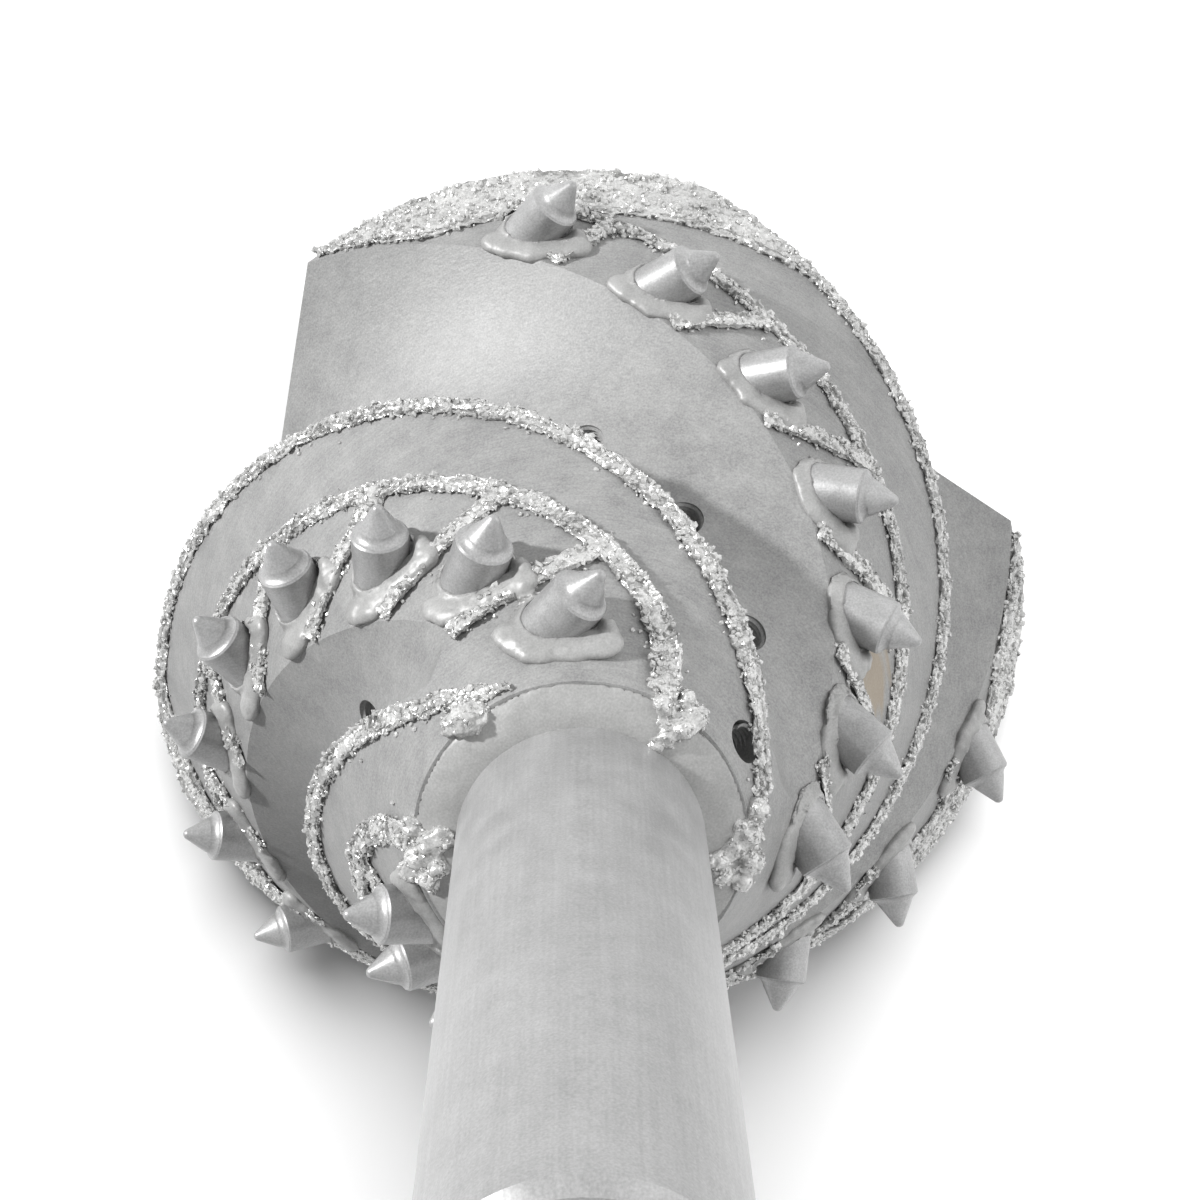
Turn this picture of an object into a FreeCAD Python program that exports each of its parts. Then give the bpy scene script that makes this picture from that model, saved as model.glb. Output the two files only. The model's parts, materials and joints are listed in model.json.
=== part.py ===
import FreeCAD, Part
import math
import os

from FreeCAD import Vector

# A button reamer: a fluted steel head on a round shaft, with three helical blades
# that carry round-shank carbide teeth and ridges of crushed carbide hardfacing.
# It stands on its rear face. The tool axis is Z, and Z = 0 is the rear face.
# Depths are measured from the front of the head down towards its rear.
# Turns are in degrees about the axis, anticlockwise seen from the front.

# Shaft
SHAFT_DIAMETER = 88.9
SHAFT_FRONT_LENGTH = 293.0
SHAFT_END_CHAMFER = 4.0
SHAFT_REAR_CHAMFER = 1.0
FLUID_BORE_DIAMETER = 32.0
SOCKET_DIAMETER = 60.0
SOCKET_DEPTH = 80.0
SOCKET_CHAMFER = 3.0
SHAFT_CLEARANCE = 0.1

# Head
HEAD_LENGTH = 251.0
NOSE_RADIUS = 59.8
REAR_RADIUS = 201.6
BACK_LENGTH = 28.0
HUB_RADIUS = 90.0
HUB_FLARE = 12.0
HUB_WELD_CHAMFER = 9.0

# Blades: the turn at which each stands, and how its edge and its heel twist with depth
BLADE_TURNS = {"a": 0.0, "b": 118.0, "c": 231.0}
EDGE_TURN = 102.4
EDGE_TWIST = 0.608
HEEL_TURN = 14.3
HEEL_TWIST = 0.664
HEEL_QUICKENING = 0.00037
HEEL_LAG = 25.0
HEEL_LAG_DEPTH = 15.0

# Flutes
FLUTE_LEAN = 46.4
FLUTE_CORE_RADIUS = 71.0
FLUTE_CORE_BLEND = 4.0
FLUTE_FRONT_DEPTH = 25.0
FLUTE_RUN_OUT_LENGTH = 18.0
FLUTE_RUN_OUT_TURN = 20.0
FLUTE_FLOOR_FILLET = 10.0
FLUTE_OVERRUN = 2.0
FLUTE_REACH = 60.0
FLUTE_SECTIONS = 11

# Ports in the flute floors, and one in the nose of blade a
PORT_DEPTHS = (75.0, 112.0, 147.0)
PORT_TURN = 116.6
PORT_TWIST = 0.69
PORT_DIAMETER = 16.0
PORT_LENGTH = 18.0
FEED_DIAMETER = 8.0
NOSE_PORT_DEPTH = 13.0
NOSE_PORT_TURN = 28.5

# Teeth: where their feet stand on the lands, and which way they point
TEETH = {"a": 8, "b": 8, "c": 7}
FIRST_TOOTH_DEPTH = {"a": 25.0, "b": 18.0, "c": 44.8}
TOOTH_SET_BACK = {"a": 21.5, "b": 19.0, "c": 9.9}
TOOTH_CREEP = {"a": 0.045, "b": 0.04, "c": 0.0}
TOOTH_PITCH = 28.9
TOOTH_FORWARD = 0.40
TOOTH_OUT = 0.65
TOOTH_AROUND = -0.645
HOLDER_DIAMETER = 22.0
HOLDER_LENGTH = 17.1
HOLDER_CHAMFER = 0.8
TIP_LENGTH = 13.5
TIP_BASE_DIAMETER = 20.6
TIP_WAIST_DIAMETER = 14.6
TIP_WAIST_HEIGHT = 3.2
TIP_FLARE_HOLLOW = 0.9
TIP_NOSE_RADIUS = 2.4
TIP_NOSE_HALF_ANGLE = 31.0

# Welds
SHAFT_WELD_HEIGHT = 5.5
SHAFT_WELD_BULGE = 1.5
SHAFT_WELD_MARGIN = 0.5
FILLET_WIDTH = 7.5
FILLET_HEIGHT = 4.5
FILLET_SUNK = 2.0
TOE_BEAD_DIAMETER = 13.0
TOE_BEAD_GAP = 3.0

# Hardfacing
RIDGE_HEIGHT = 3.5
RIDGE_WIDTH = 12.0
EDGE_MARGIN = 1.5
RIDGE_START_DEPTH = 1.5
INNER_TURN = 57.0
INNER_TWIST = 0.41
INNER_BEND_DEPTH = 28.0
INNER_BEND_LENGTH = 30.0
CROSS_SET_BACK = 10.0
CROSS_RISE = 20.0
CROSS_WIDTH = 9.0
REAR_BAND_DEPTH = 227.0
RIDGE_SECTIONS = 9

# What follows from the sizes above
SHAFT_RADIUS = SHAFT_DIAMETER / 2
FRONT_Z = BACK_LENGTH + HEAD_LENGTH
SHAFT_LENGTH = FRONT_Z + SHAFT_FRONT_LENGTH
LAND_SLOPE = (REAR_RADIUS - NOSE_RADIUS) / HEAD_LENGTH
BLADE_NAMES = list(BLADE_TURNS)
AXIS = Vector(0, 0, 1)


def point(depth, radius, turn):
    """The point at a depth behind the front of the head, a radius and a turn."""
    angle = math.radians(turn)
    return Vector(radius * math.cos(angle), radius * math.sin(angle), FRONT_Z - depth)


def land_radius(depth):
    """Radius of the conical lands at a depth."""
    return NOSE_RADIUS + LAND_SLOPE * depth


def edge_turn(depth):
    """Turn of a blade's cutting edge, which curls back where its flute runs out."""
    run_out = max(0.0, FLUTE_FRONT_DEPTH + FLUTE_RUN_OUT_LENGTH - depth) / FLUTE_RUN_OUT_LENGTH
    return EDGE_TURN + EDGE_TWIST * depth + FLUTE_RUN_OUT_TURN * run_out ** 2


def heel_turn(depth):
    """Turn of a blade's heel, the top of the wall behind it, which bends back near the front."""
    lag = HEEL_LAG * math.exp(-depth / HEEL_LAG_DEPTH)
    return HEEL_TURN + HEEL_TWIST * depth + HEEL_QUICKENING * depth ** 2 - lag


def inner_turn(depth):
    """Turn of the middle of the ridge that runs behind a row of teeth."""
    bent = depth - INNER_BEND_DEPTH
    return INNER_TURN + INNER_TWIST * (bent + math.hypot(bent, INNER_BEND_LENGTH))


def floor_radius(depth):
    """Least distance of the flute floor from the axis, never less than the core."""
    free = land_radius(depth) * math.sin(math.radians(FLUTE_LEAN))
    middle = (free + FLUTE_CORE_RADIUS) / 2
    return middle + math.hypot((free - FLUTE_CORE_RADIUS) / 2, FLUTE_CORE_BLEND)


def floor_turn(depth):
    """Turn at which the flat flute floor comes nearest to the axis."""
    share = min(1.0, floor_radius(depth) / land_radius(depth))
    return edge_turn(depth) + math.degrees(math.acos(share))


def floor_point(depth, turn):
    """The point of the flute floor at a turn."""
    across = math.radians(turn - floor_turn(depth))
    return point(depth, floor_radius(depth) / math.cos(across), turn)


def spaced(start, end, count):
    """Evenly spaced values from start to end."""
    return [start + (end - start) * i / (count - 1) for i in range(count)]


def turned(shape, blade):
    """A copy of a shape of blade a, turned to another blade."""
    copy = shape.copy()
    copy.rotate(Vector(0, 0, 0), AXIS, BLADE_TURNS[blade])
    return copy


def revolved(points):
    """The solid of a closed outline of (radius, z) points turned about the axis."""
    outline = Part.makePolygon([Vector(r, 0, z) for r, z in points + points[:1]])
    return Part.Face(outline).revolve(Vector(0, 0, 0), AXIS, 360)


def land_cone(offset):
    """A solid cone that the lands lie on, with its surface raised by an offset."""
    reach = TOOTH_PITCH
    rise = offset * math.hypot(1, LAND_SLOPE)
    top = land_radius(-reach) + rise
    bottom = land_radius(HEAD_LENGTH) + rise
    return revolved([(0, BACK_LENGTH), (bottom, BACK_LENGTH), (top, FRONT_Z + reach), (0, FRONT_Z + reach)])


def land_layer(height):
    """The layer of a height that lies on the lands."""
    return land_cone(height).cut(land_cone(0))


def land_normal(foot):
    """The direction square to the land at a point on it."""
    return (Vector(foot.x, foot.y, 0).normalize() + AXIS * LAND_SLOPE).normalize()


def flute_section(depth, spacing):
    """One section of the cutter for the flute between a blade and the next one."""
    radius = floor_radius(depth)
    turn = floor_turn(depth)
    reach = land_radius(depth) + FLUTE_REACH
    wall_turn = heel_turn(depth) + spacing
    start = point(depth, reach, turn - math.degrees(math.acos(radius / reach)))
    corner = floor_point(depth, wall_turn)
    end = point(depth, reach, wall_turn)
    along_floor = (start - corner).normalize()
    up_wall = (end - corner).normalize()
    half = along_floor.getAngle(up_wall) / 2
    setback = FLUTE_FLOOR_FILLET / math.tan(half)
    floor_end = corner + along_floor * setback
    wall_start = corner + up_wall * setback
    bisector = (along_floor + up_wall).normalize()
    fillet_middle = corner + bisector * (FLUTE_FLOOR_FILLET / math.sin(half) - FLUTE_FLOOR_FILLET)
    middle_turn = (wall_turn + turn - math.degrees(math.acos(radius / reach))) / 2
    over = point(depth, reach + FLUTE_REACH, middle_turn)
    return Part.Wire([
        Part.LineSegment(start, floor_end).toShape(),
        Part.Arc(floor_end, fillet_middle, wall_start).toShape(),
        Part.LineSegment(wall_start, end).toShape(),
        Part.Arc(end, over, start).toShape(),
    ])


def flute_cutter(spacing):
    """The twisted solid that is cut away ahead of a blade's cutting edge."""
    depths = spaced(FLUTE_FRONT_DEPTH, HEAD_LENGTH + FLUTE_OVERRUN, FLUTE_SECTIONS)
    return Part.makeLoft([flute_section(depth, spacing) for depth in depths], True, False)


def port_axis(depth):
    """Mouth and outward direction of a port, square to the flute floor."""
    turn = PORT_TURN + PORT_TWIST * depth
    mouth = floor_point(depth, turn)
    along = floor_point(depth + 1, turn) - mouth
    across = floor_point(depth, turn + 1) - mouth
    outward = across.cross(along).normalize()
    if outward.dot(Vector(mouth.x, mouth.y, 0)) < 0:
        outward = outward * -1
    return mouth, outward


def port(mouth, outward):
    """A port and the feed hole that joins it to the bore."""
    bottom = mouth - outward * PORT_LENGTH
    inward = Vector(0, 0, bottom.z) - bottom
    return [
        Part.makeCylinder(PORT_DIAMETER / 2, 2 * PORT_LENGTH, bottom, outward),
        Part.makeCylinder(FEED_DIAMETER / 2, inward.Length, bottom, inward),
    ]


def all_ports():
    """The ports of all three flutes and the nose port."""
    holes = []
    for depth in PORT_DEPTHS:
        for hole in port(*port_axis(depth)):
            holes += [turned(hole, blade) for blade in BLADE_NAMES]
    nose = point(NOSE_PORT_DEPTH, land_radius(NOSE_PORT_DEPTH), NOSE_PORT_TURN)
    return Part.makeCompound(holes + port(nose, land_normal(nose)))


def head():
    """The head: a cone with three flutes, its ports and the bore for the shaft."""
    bore = SHAFT_RADIUS + SHAFT_CLEARANCE
    blank = revolved([
        (bore + HUB_WELD_CHAMFER, 0),
        (HUB_RADIUS, 0),
        (HUB_RADIUS + HUB_FLARE, BACK_LENGTH),
        (REAR_RADIUS, BACK_LENGTH),
        (NOSE_RADIUS, FRONT_Z),
        (bore, FRONT_Z),
        (bore, HUB_WELD_CHAMFER),
    ])
    for i, blade in enumerate(BLADE_NAMES):
        following = BLADE_TURNS[BLADE_NAMES[(i + 1) % len(BLADE_NAMES)]]
        spacing = (following - BLADE_TURNS[blade]) % 360
        blank = blank.cut(turned(flute_cutter(spacing), blade))
    return blank.cut(all_ports())


def shaft():
    """The shaft, bored for fluid, with a socket for a threaded joint at each end."""
    socket = SOCKET_DIAMETER / 2
    bore = FLUID_BORE_DIAMETER / 2
    outline = [
        (socket + SOCKET_CHAMFER, 0),
        (SHAFT_RADIUS - SHAFT_REAR_CHAMFER, 0),
        (SHAFT_RADIUS, SHAFT_REAR_CHAMFER),
        (SHAFT_RADIUS, SHAFT_LENGTH - SHAFT_END_CHAMFER),
        (SHAFT_RADIUS - SHAFT_END_CHAMFER, SHAFT_LENGTH),
        (socket + SOCKET_CHAMFER, SHAFT_LENGTH),
        (socket, SHAFT_LENGTH - SOCKET_CHAMFER),
        (socket, SHAFT_LENGTH - SOCKET_DEPTH),
        (bore, SHAFT_LENGTH - SOCKET_DEPTH - (socket - bore)),
        (bore, SOCKET_DEPTH + (socket - bore)),
        (socket, SOCKET_DEPTH),
        (socket, SOCKET_CHAMFER),
    ]
    return revolved(outline).cut(all_ports())


def front_weld():
    """The ring of weld between the shaft and the front of the head."""
    foot = Vector(NOSE_RADIUS - SHAFT_WELD_MARGIN, 0, FRONT_Z)
    root = Vector(SHAFT_RADIUS, 0, FRONT_Z)
    top = Vector(SHAFT_RADIUS, 0, FRONT_Z + SHAFT_WELD_HEIGHT)
    bulge = (foot + top) * 0.5 + (foot - root + top - root).normalize() * SHAFT_WELD_BULGE
    outline = Part.Wire([
        Part.LineSegment(root, foot).toShape(),
        Part.Arc(foot, bulge, top).toShape(),
        Part.LineSegment(top, root).toShape(),
    ])
    return Part.Face(outline).revolve(Vector(0, 0, 0), AXIS, 360)


def rear_weld():
    """The ring of weld in the chamfer at the rear of the head."""
    bore = SHAFT_RADIUS + SHAFT_CLEARANCE
    return revolved([
        (SHAFT_RADIUS, SHAFT_REAR_CHAMFER),
        (bore + HUB_WELD_CHAMFER - SHAFT_REAR_CHAMFER, SHAFT_REAR_CHAMFER),
        (bore, HUB_WELD_CHAMFER),
        (SHAFT_RADIUS, HUB_WELD_CHAMFER),
    ])


def tooth_axis(blade, number):
    """Foot and direction of a tooth, before its blade is turned."""
    depth = FIRST_TOOTH_DEPTH[blade] + TOOTH_PITCH * number
    turn = EDGE_TURN + (EDGE_TWIST + TOOTH_CREEP[blade]) * depth - TOOTH_SET_BACK[blade]
    foot = point(depth, land_radius(depth), turn)
    out = Vector(foot.x, foot.y, 0).normalize()
    around = AXIS.cross(out)
    direction = (out * TOOTH_OUT + around * TOOTH_AROUND + AXIS * TOOTH_FORWARD).normalize()
    return foot, direction


def holder_bar(foot, direction):
    """The round bar of a tooth holder, run on into the land below its foot."""
    start = foot - direction * HOLDER_DIAMETER
    return Part.makeCylinder(HOLDER_DIAMETER / 2, HOLDER_DIAMETER + HOLDER_LENGTH, start, direction)


def holder(foot, direction, cone):
    """A round tooth holder, coped to the land at its foot and bevelled at its rim."""
    radius = HOLDER_DIAMETER / 2
    bar = holder_bar(foot, direction)
    rim = foot + direction * HOLDER_LENGTH
    bevel_start = rim - direction * HOLDER_CHAMFER
    bevel = Part.makeCone(radius, radius - HOLDER_CHAMFER, HOLDER_CHAMFER, bevel_start, direction)
    collar = Part.makeCylinder(radius, HOLDER_CHAMFER, bevel_start, direction)
    return bar.cut([collar.cut(bevel), cone])


def tip(foot, direction):
    """A carbide tip: a flared foot that narrows to a waist, and a rounded cone."""
    nose = math.radians(TIP_NOSE_HALF_ANGLE)
    nose_centre = TIP_LENGTH - TIP_NOSE_RADIUS
    nose_z = nose_centre + TIP_NOSE_RADIUS * math.sin(nose)
    nose_r = TIP_NOSE_RADIUS * math.cos(nose)
    waist_r = TIP_WAIST_DIAMETER / 2
    flare_middle = Vector(waist_r + TIP_FLARE_HOLLOW, 0, TIP_WAIST_HEIGHT * 0.45)
    mid_angle = (math.pi / 2 + nose) / 2
    nose_middle = Vector(
        TIP_NOSE_RADIUS * math.cos(mid_angle), 0, nose_centre + TIP_NOSE_RADIUS * math.sin(mid_angle))
    base = Vector(TIP_BASE_DIAMETER / 2, 0, 0)
    waist = Vector(waist_r, 0, TIP_WAIST_HEIGHT)
    shoulder = Vector(nose_r, 0, nose_z)
    top = Vector(0, 0, TIP_LENGTH)
    outline = Part.Wire([
        Part.LineSegment(Vector(0, 0, 0), base).toShape(),
        Part.Arc(base, flare_middle, waist).toShape(),
        Part.LineSegment(waist, shoulder).toShape(),
        Part.Arc(shoulder, nose_middle, top).toShape(),
        Part.LineSegment(top, Vector(0, 0, 0)).toShape(),
    ])
    shape = Part.Face(outline).revolve(Vector(0, 0, 0), AXIS, 360)
    rim = foot + direction * HOLDER_LENGTH
    shape.Placement = FreeCAD.Placement(rim, FreeCAD.Rotation(AXIS, direction))
    return shape


def tooth_weld(foot, direction, cone):
    """Weld round a holder's foot, and a bead along the side that leans over the land."""
    radius = HOLDER_DIAMETER / 2
    bead_radius = TOE_BEAD_DIAMETER / 2
    normal = land_normal(foot)
    lean = (direction - normal * direction.dot(normal)).normalize()
    side = (lean - direction * lean.dot(direction)).normalize()
    wide = radius / direction.dot(normal) + FILLET_WIDTH / 2
    fillet = Part.makeCone(wide, radius, FILLET_HEIGHT + FILLET_SUNK, foot - normal * FILLET_SUNK, normal)
    start = foot + side * (radius - bead_radius / 4) - direction * HOLDER_DIAMETER
    length = HOLDER_DIAMETER + HOLDER_LENGTH - TOE_BEAD_GAP - bead_radius
    bead = Part.makeCylinder(bead_radius, length, start, direction)
    bead_end = Part.makeSphere(bead_radius, start + direction * length)
    return fillet.fuse([bead, bead_end]).cut([holder_bar(foot, direction), cone])


def helical_band(low_turn, high_turn, start, end):
    """A twisted wall that stands on the lands between two turns that follow depth."""
    reach = 2 * RIDGE_HEIGHT
    sections = []
    for depth in spaced(start, end, RIDGE_SECTIONS):
        low = low_turn(depth)
        high = high_turn(depth)
        middle = (low + high) / 2
        inside = land_radius(depth) - reach
        outside = land_radius(depth) + reach
        inner = [point(depth, inside, turn) for turn in (low, middle, high)]
        outer = [point(depth, outside, turn) for turn in (high, middle, low)]
        sections.append(Part.Wire([
            Part.Arc(*inner).toShape(),
            Part.LineSegment(inner[2], outer[0]).toShape(),
            Part.Arc(*outer).toShape(),
            Part.LineSegment(outer[2], inner[0]).toShape(),
        ]))
    return Part.makeLoft(sections, True, False)


def degrees_of(length, depth):
    """The turn that a length takes up round the land at a depth."""
    return math.degrees(length / land_radius(depth))


def cross_ridge(depth):
    """A straight block across the land from the cutting edge to the inner ridge."""
    start = point(depth, land_radius(depth), edge_turn(depth) - degrees_of(EDGE_MARGIN, depth))
    far = depth + CROSS_RISE
    along = point(far, land_radius(far), inner_turn(far)) - start
    out = start * 2 + along
    normal = (Vector(out.x, out.y, 0).normalize() + AXIS * LAND_SLOPE).normalize()
    side = normal.cross(along).normalize()
    forward = side.cross(normal)
    corner = Vector(0, -CROSS_WIDTH / 2, -CROSS_RISE)
    block = Part.makeBox(along.Length, CROSS_WIDTH, 2 * CROSS_RISE, corner)
    block.Placement = FreeCAD.Placement(start, FreeCAD.Rotation(forward, side, normal, "ZXY"))
    return block


def hardfacing(blade, layer, teeth):
    """The ridges of crushed carbide on one blade, cut round its teeth, before it is turned."""
    rear = HEAD_LENGTH - EDGE_MARGIN
    heel = helical_band(
        lambda depth: heel_turn(depth) + degrees_of(EDGE_MARGIN, depth),
        lambda depth: heel_turn(depth) + degrees_of(EDGE_MARGIN + RIDGE_WIDTH, depth),
        RIDGE_START_DEPTH, rear)
    inner = helical_band(
        lambda depth: inner_turn(depth) - degrees_of(RIDGE_WIDTH / 2, depth),
        lambda depth: inner_turn(depth) + degrees_of(RIDGE_WIDTH / 2, depth),
        RIDGE_START_DEPTH, rear)
    band = helical_band(
        lambda depth: heel_turn(depth) + degrees_of(EDGE_MARGIN, depth),
        lambda depth: edge_turn(depth) - degrees_of(EDGE_MARGIN, depth),
        REAR_BAND_DEPTH, rear)
    ridges = [heel.common(layer), inner.common(layer), band.common(layer)]
    for number in range(TEETH[blade] - 1):
        depth = FIRST_TOOTH_DEPTH[blade] + TOOTH_PITCH * number + CROSS_SET_BACK
        ridges.append(cross_ridge(depth).common(layer))
    return ridges[0].fuse(ridges[1:]).cut(teeth)


def build():
    """All the pieces by name."""
    cone = land_cone(0)
    ridge_layer = land_layer(RIDGE_HEIGHT)
    pieces = {
        "shaft": shaft(),
        "head": head(),
        "front_weld": front_weld(),
        "rear_weld": rear_weld(),
    }
    for blade in BLADE_NAMES:
        teeth = []
        welds = []
        for number in range(TEETH[blade]):
            foot, direction = tooth_axis(blade, number)
            shank = holder(foot, direction, cone)
            weld = tooth_weld(foot, direction, cone)
            teeth += [shank, weld]
            welds.append(weld)
            pieces[f"holder_{blade}{number + 1}"] = turned(shank, blade)
            pieces[f"tip_{blade}{number + 1}"] = turned(tip(foot, direction), blade)
        pieces[f"tooth_welds_{blade}"] = turned(Part.makeCompound(welds), blade)
        pieces[f"hardfacing_{blade}"] = turned(hardfacing(blade, ridge_layer, teeth), blade)
    return pieces


os.makedirs("parts", exist_ok=True)
for name, shape in build().items():
    shape.exportStep(f"parts/{name}.step")
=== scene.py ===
"""Silver enamel, hardfacing grains, weld beads, threads and the studio for the button reamer."""
import json
import math
import random

import bpy
import numpy as np
from mathutils import Matrix, Vector


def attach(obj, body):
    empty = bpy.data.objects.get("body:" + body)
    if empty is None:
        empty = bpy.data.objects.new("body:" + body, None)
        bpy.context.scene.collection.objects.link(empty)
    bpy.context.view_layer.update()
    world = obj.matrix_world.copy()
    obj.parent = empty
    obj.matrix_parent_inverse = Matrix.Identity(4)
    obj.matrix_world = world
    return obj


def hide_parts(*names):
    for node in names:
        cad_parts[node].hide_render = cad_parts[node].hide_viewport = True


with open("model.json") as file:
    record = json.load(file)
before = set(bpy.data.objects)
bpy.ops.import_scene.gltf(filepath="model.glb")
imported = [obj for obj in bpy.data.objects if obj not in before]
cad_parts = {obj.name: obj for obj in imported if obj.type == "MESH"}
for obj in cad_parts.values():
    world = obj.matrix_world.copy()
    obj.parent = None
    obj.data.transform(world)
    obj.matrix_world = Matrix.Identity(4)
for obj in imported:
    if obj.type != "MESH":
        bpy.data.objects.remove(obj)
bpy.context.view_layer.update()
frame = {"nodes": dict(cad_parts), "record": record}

bl_info = {
    "name": "Button reamer finish",
    "version": (1, 0, 0),
    "blender": (4, 5, 0),
    "location": "View3D > Sidebar > Reamer",
    "description": "Hardfacing grains, weld beads, threads and paint for a button reamer",
    "category": "Object",
}

BLADES = ("a", "b", "c")
BLADE_TURNS = {"a": 0.0, "b": 118.0, "c": 231.0}
MM = 0.001

# The conical lands, as in the solids
FRONT_Z = 0.279
NOSE_RADIUS = 0.0598
REAR_RADIUS = 0.2016
HEAD_LENGTH = 0.251
LAND_SLOPE = (REAR_RADIUS - NOSE_RADIUS) / HEAD_LENGTH

# The teeth, as in the solids: how far they point away from the axis, round it and to the front
TOOTH_LEAN = (0.65, -0.645, 0.40)
HOLDER_RADIUS = 0.011
SHAFT_RADIUS = 0.04445

# Turns in degrees of a blade's cutting edge and heel at the nose, and their twist for each mm
EDGE_TURN, EDGE_TWIST = 102.4, 0.608
HEEL_TURN, HEEL_TWIST = 14.3, 0.72

# Share of the hardfacing's grains that lie loose beside the ridges, how far off, and their largest
# size as a share of the others'
LOOSE_SHARE = 0.22
LOOSE_REACH = 2.2 * MM
LOOSE_SIZE = 0.6

# Middle of the patch on the land of blade c where the paint is rubbed through, the distances at
# which its edge starts and ends, and how ragged the edge is
RUBBED_SPOT = (0.117, 0.0217, 0.174)
RUBBED_INSIDE, RUBBED_OUTSIDE, RUBBED_RAGGED = 24 * MM, 31 * MM, 30 * MM

# Distance within which two corners of a mesh are the same corner
SAME_SPOT = 0.01 * MM


# Small helpers


def linear(code):
    """Turns an sRGB hex value into a linear colour with alpha."""
    values = [int(code[i:i + 2], 16) / 255 for i in (1, 3, 5)]
    levels = [v / 12.92 if v <= 0.04045 else ((v + 0.055) / 1.055) ** 2.4 for v in values]
    return (*levels, 1.0)


def add_node(tree, kind, inputs=None, **settings):
    """Adds a shader node with its settings; an input is a value or the socket to link from."""
    node = tree.nodes.new(kind)
    for name, value in settings.items():
        setattr(node, name, value)
    for key, value in (inputs or {}).items():
        if isinstance(value, bpy.types.NodeSocket):
            tree.links.new(value, node.inputs[key])
        else:
            node.inputs[key].default_value = value
    return node


def activate(piece):
    """Selects one object alone and makes it the active one."""
    bpy.ops.object.select_all(action="DESELECT")
    piece.select_set(True)
    bpy.context.view_layer.objects.active = piece


def apply_modifier(piece, kind, **settings):
    """Adds a modifier with its settings and applies it."""
    activate(piece)
    modifier = piece.modifiers.new(kind.title(), kind)
    for name, value in settings.items():
        setattr(modifier, name, value)
    bpy.ops.object.modifier_apply(modifier=modifier.name)


def copy_of_node(node, name):
    """A copy of a CAD node as a new piece, with its loose triangles merged."""
    piece = bpy.data.objects.new(name, frame["nodes"][node].data.copy())
    piece.data.name = name
    bpy.context.scene.collection.objects.link(piece)
    activate(piece)
    bpy.ops.object.mode_set(mode="EDIT")
    bpy.ops.mesh.select_all(action="SELECT")
    bpy.ops.mesh.remove_doubles(threshold=SAME_SPOT)
    bpy.ops.mesh.normals_make_consistent(inside=False)
    bpy.ops.object.mode_set(mode="OBJECT")
    return piece


def voxel_remesh(piece, size):
    """Rebuilds a piece from even faces of a size."""
    activate(piece)
    piece.data.remesh_voxel_size = size
    bpy.ops.object.voxel_remesh()


def noise_texture(name, kind, size):
    """A displacement texture whose features have a size."""
    texture = bpy.data.textures.new(name, kind)
    texture.noise_scale = size
    return texture


def land_direction(spot):
    """Outward direction of the conical land nearest to a spot."""
    return (Vector((spot.x, spot.y, 0)).normalized() + Vector((0, 0, LAND_SLOPE))).normalized()


def land_height(spot):
    """Distance of a spot in front of the conical lands, which is negative inside them."""
    radius = NOSE_RADIUS + LAND_SLOPE * (FRONT_Z - spot.z)
    return (math.hypot(spot.x, spot.y) - radius) / math.hypot(1, LAND_SLOPE)


def inside_land(spot, blade, margin):
    """Whether a spot is over the land of a blade and further than a margin from its two edges."""
    depth = (FRONT_Z - spot[2]) / MM
    turn = (math.degrees(math.atan2(spot[1], spot[0])) - BLADE_TURNS[blade]) % 360
    kept = math.degrees(margin / math.hypot(spot[0], spot[1]))
    heel = HEEL_TURN + HEEL_TWIST * depth + kept
    edge = EDGE_TURN + EDGE_TWIST * depth - kept
    return 0 < depth < HEAD_LENGTH / MM and (turn - heel) % 360 < edge - heel


def tooth_place(node):
    """Foot of a tooth on its land, the land's direction, and the way the tooth leans along it."""
    tip = sum((vertex.co for vertex in node.data.vertices), Vector()) / len(node.data.vertices)
    foot = tip
    length = 0.0
    forward = Vector((0, 0, 1))
    for _ in range(12):
        out = Vector((foot.x, foot.y, 0)).normalized()
        ways = (out, forward.cross(out), forward)
        direction = sum((way * part for way, part in zip(ways, TOOTH_LEAN)), Vector()).normalized()
        normal = land_direction(foot)
        length += land_height(foot) / direction.dot(normal)
        foot = tip - direction * length
    lean = (direction - normal * direction.dot(normal)).normalized()
    return foot, normal, lean


def add_drop(spot, radius, normal=Vector((0, 0, 1)), flatness=1.0):
    """A small drop of weld metal, flattened along a normal, as an object of its own."""
    turn = normal.to_track_quat("Z", "Y").to_euler()
    bpy.ops.object.select_all(action="DESELECT")
    bpy.ops.mesh.primitive_ico_sphere_add(
        subdivisions=3, radius=radius, location=spot, rotation=turn, scale=(1.0, 1.0, flatness))
    bpy.ops.object.transform_apply(location=True, rotation=True, scale=True)
    return bpy.context.object


def join_to(piece, others):
    """Joins other objects to a piece."""
    activate(piece)
    for other in others:
        other.select_set(True)
    bpy.ops.object.join()


def finish_piece(piece, material, nodes=()):
    """Gives a piece its material, hangs it under the root body and hides the CAD nodes it stands
    for.
    """
    piece.data.materials.clear()
    piece.data.materials.append(material)
    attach(piece, "root")
    if nodes:
        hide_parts(*nodes)


# Finishes


# Share of the base colour that streaks reach at their palest
STREAK_PALEST = 1.04


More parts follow.
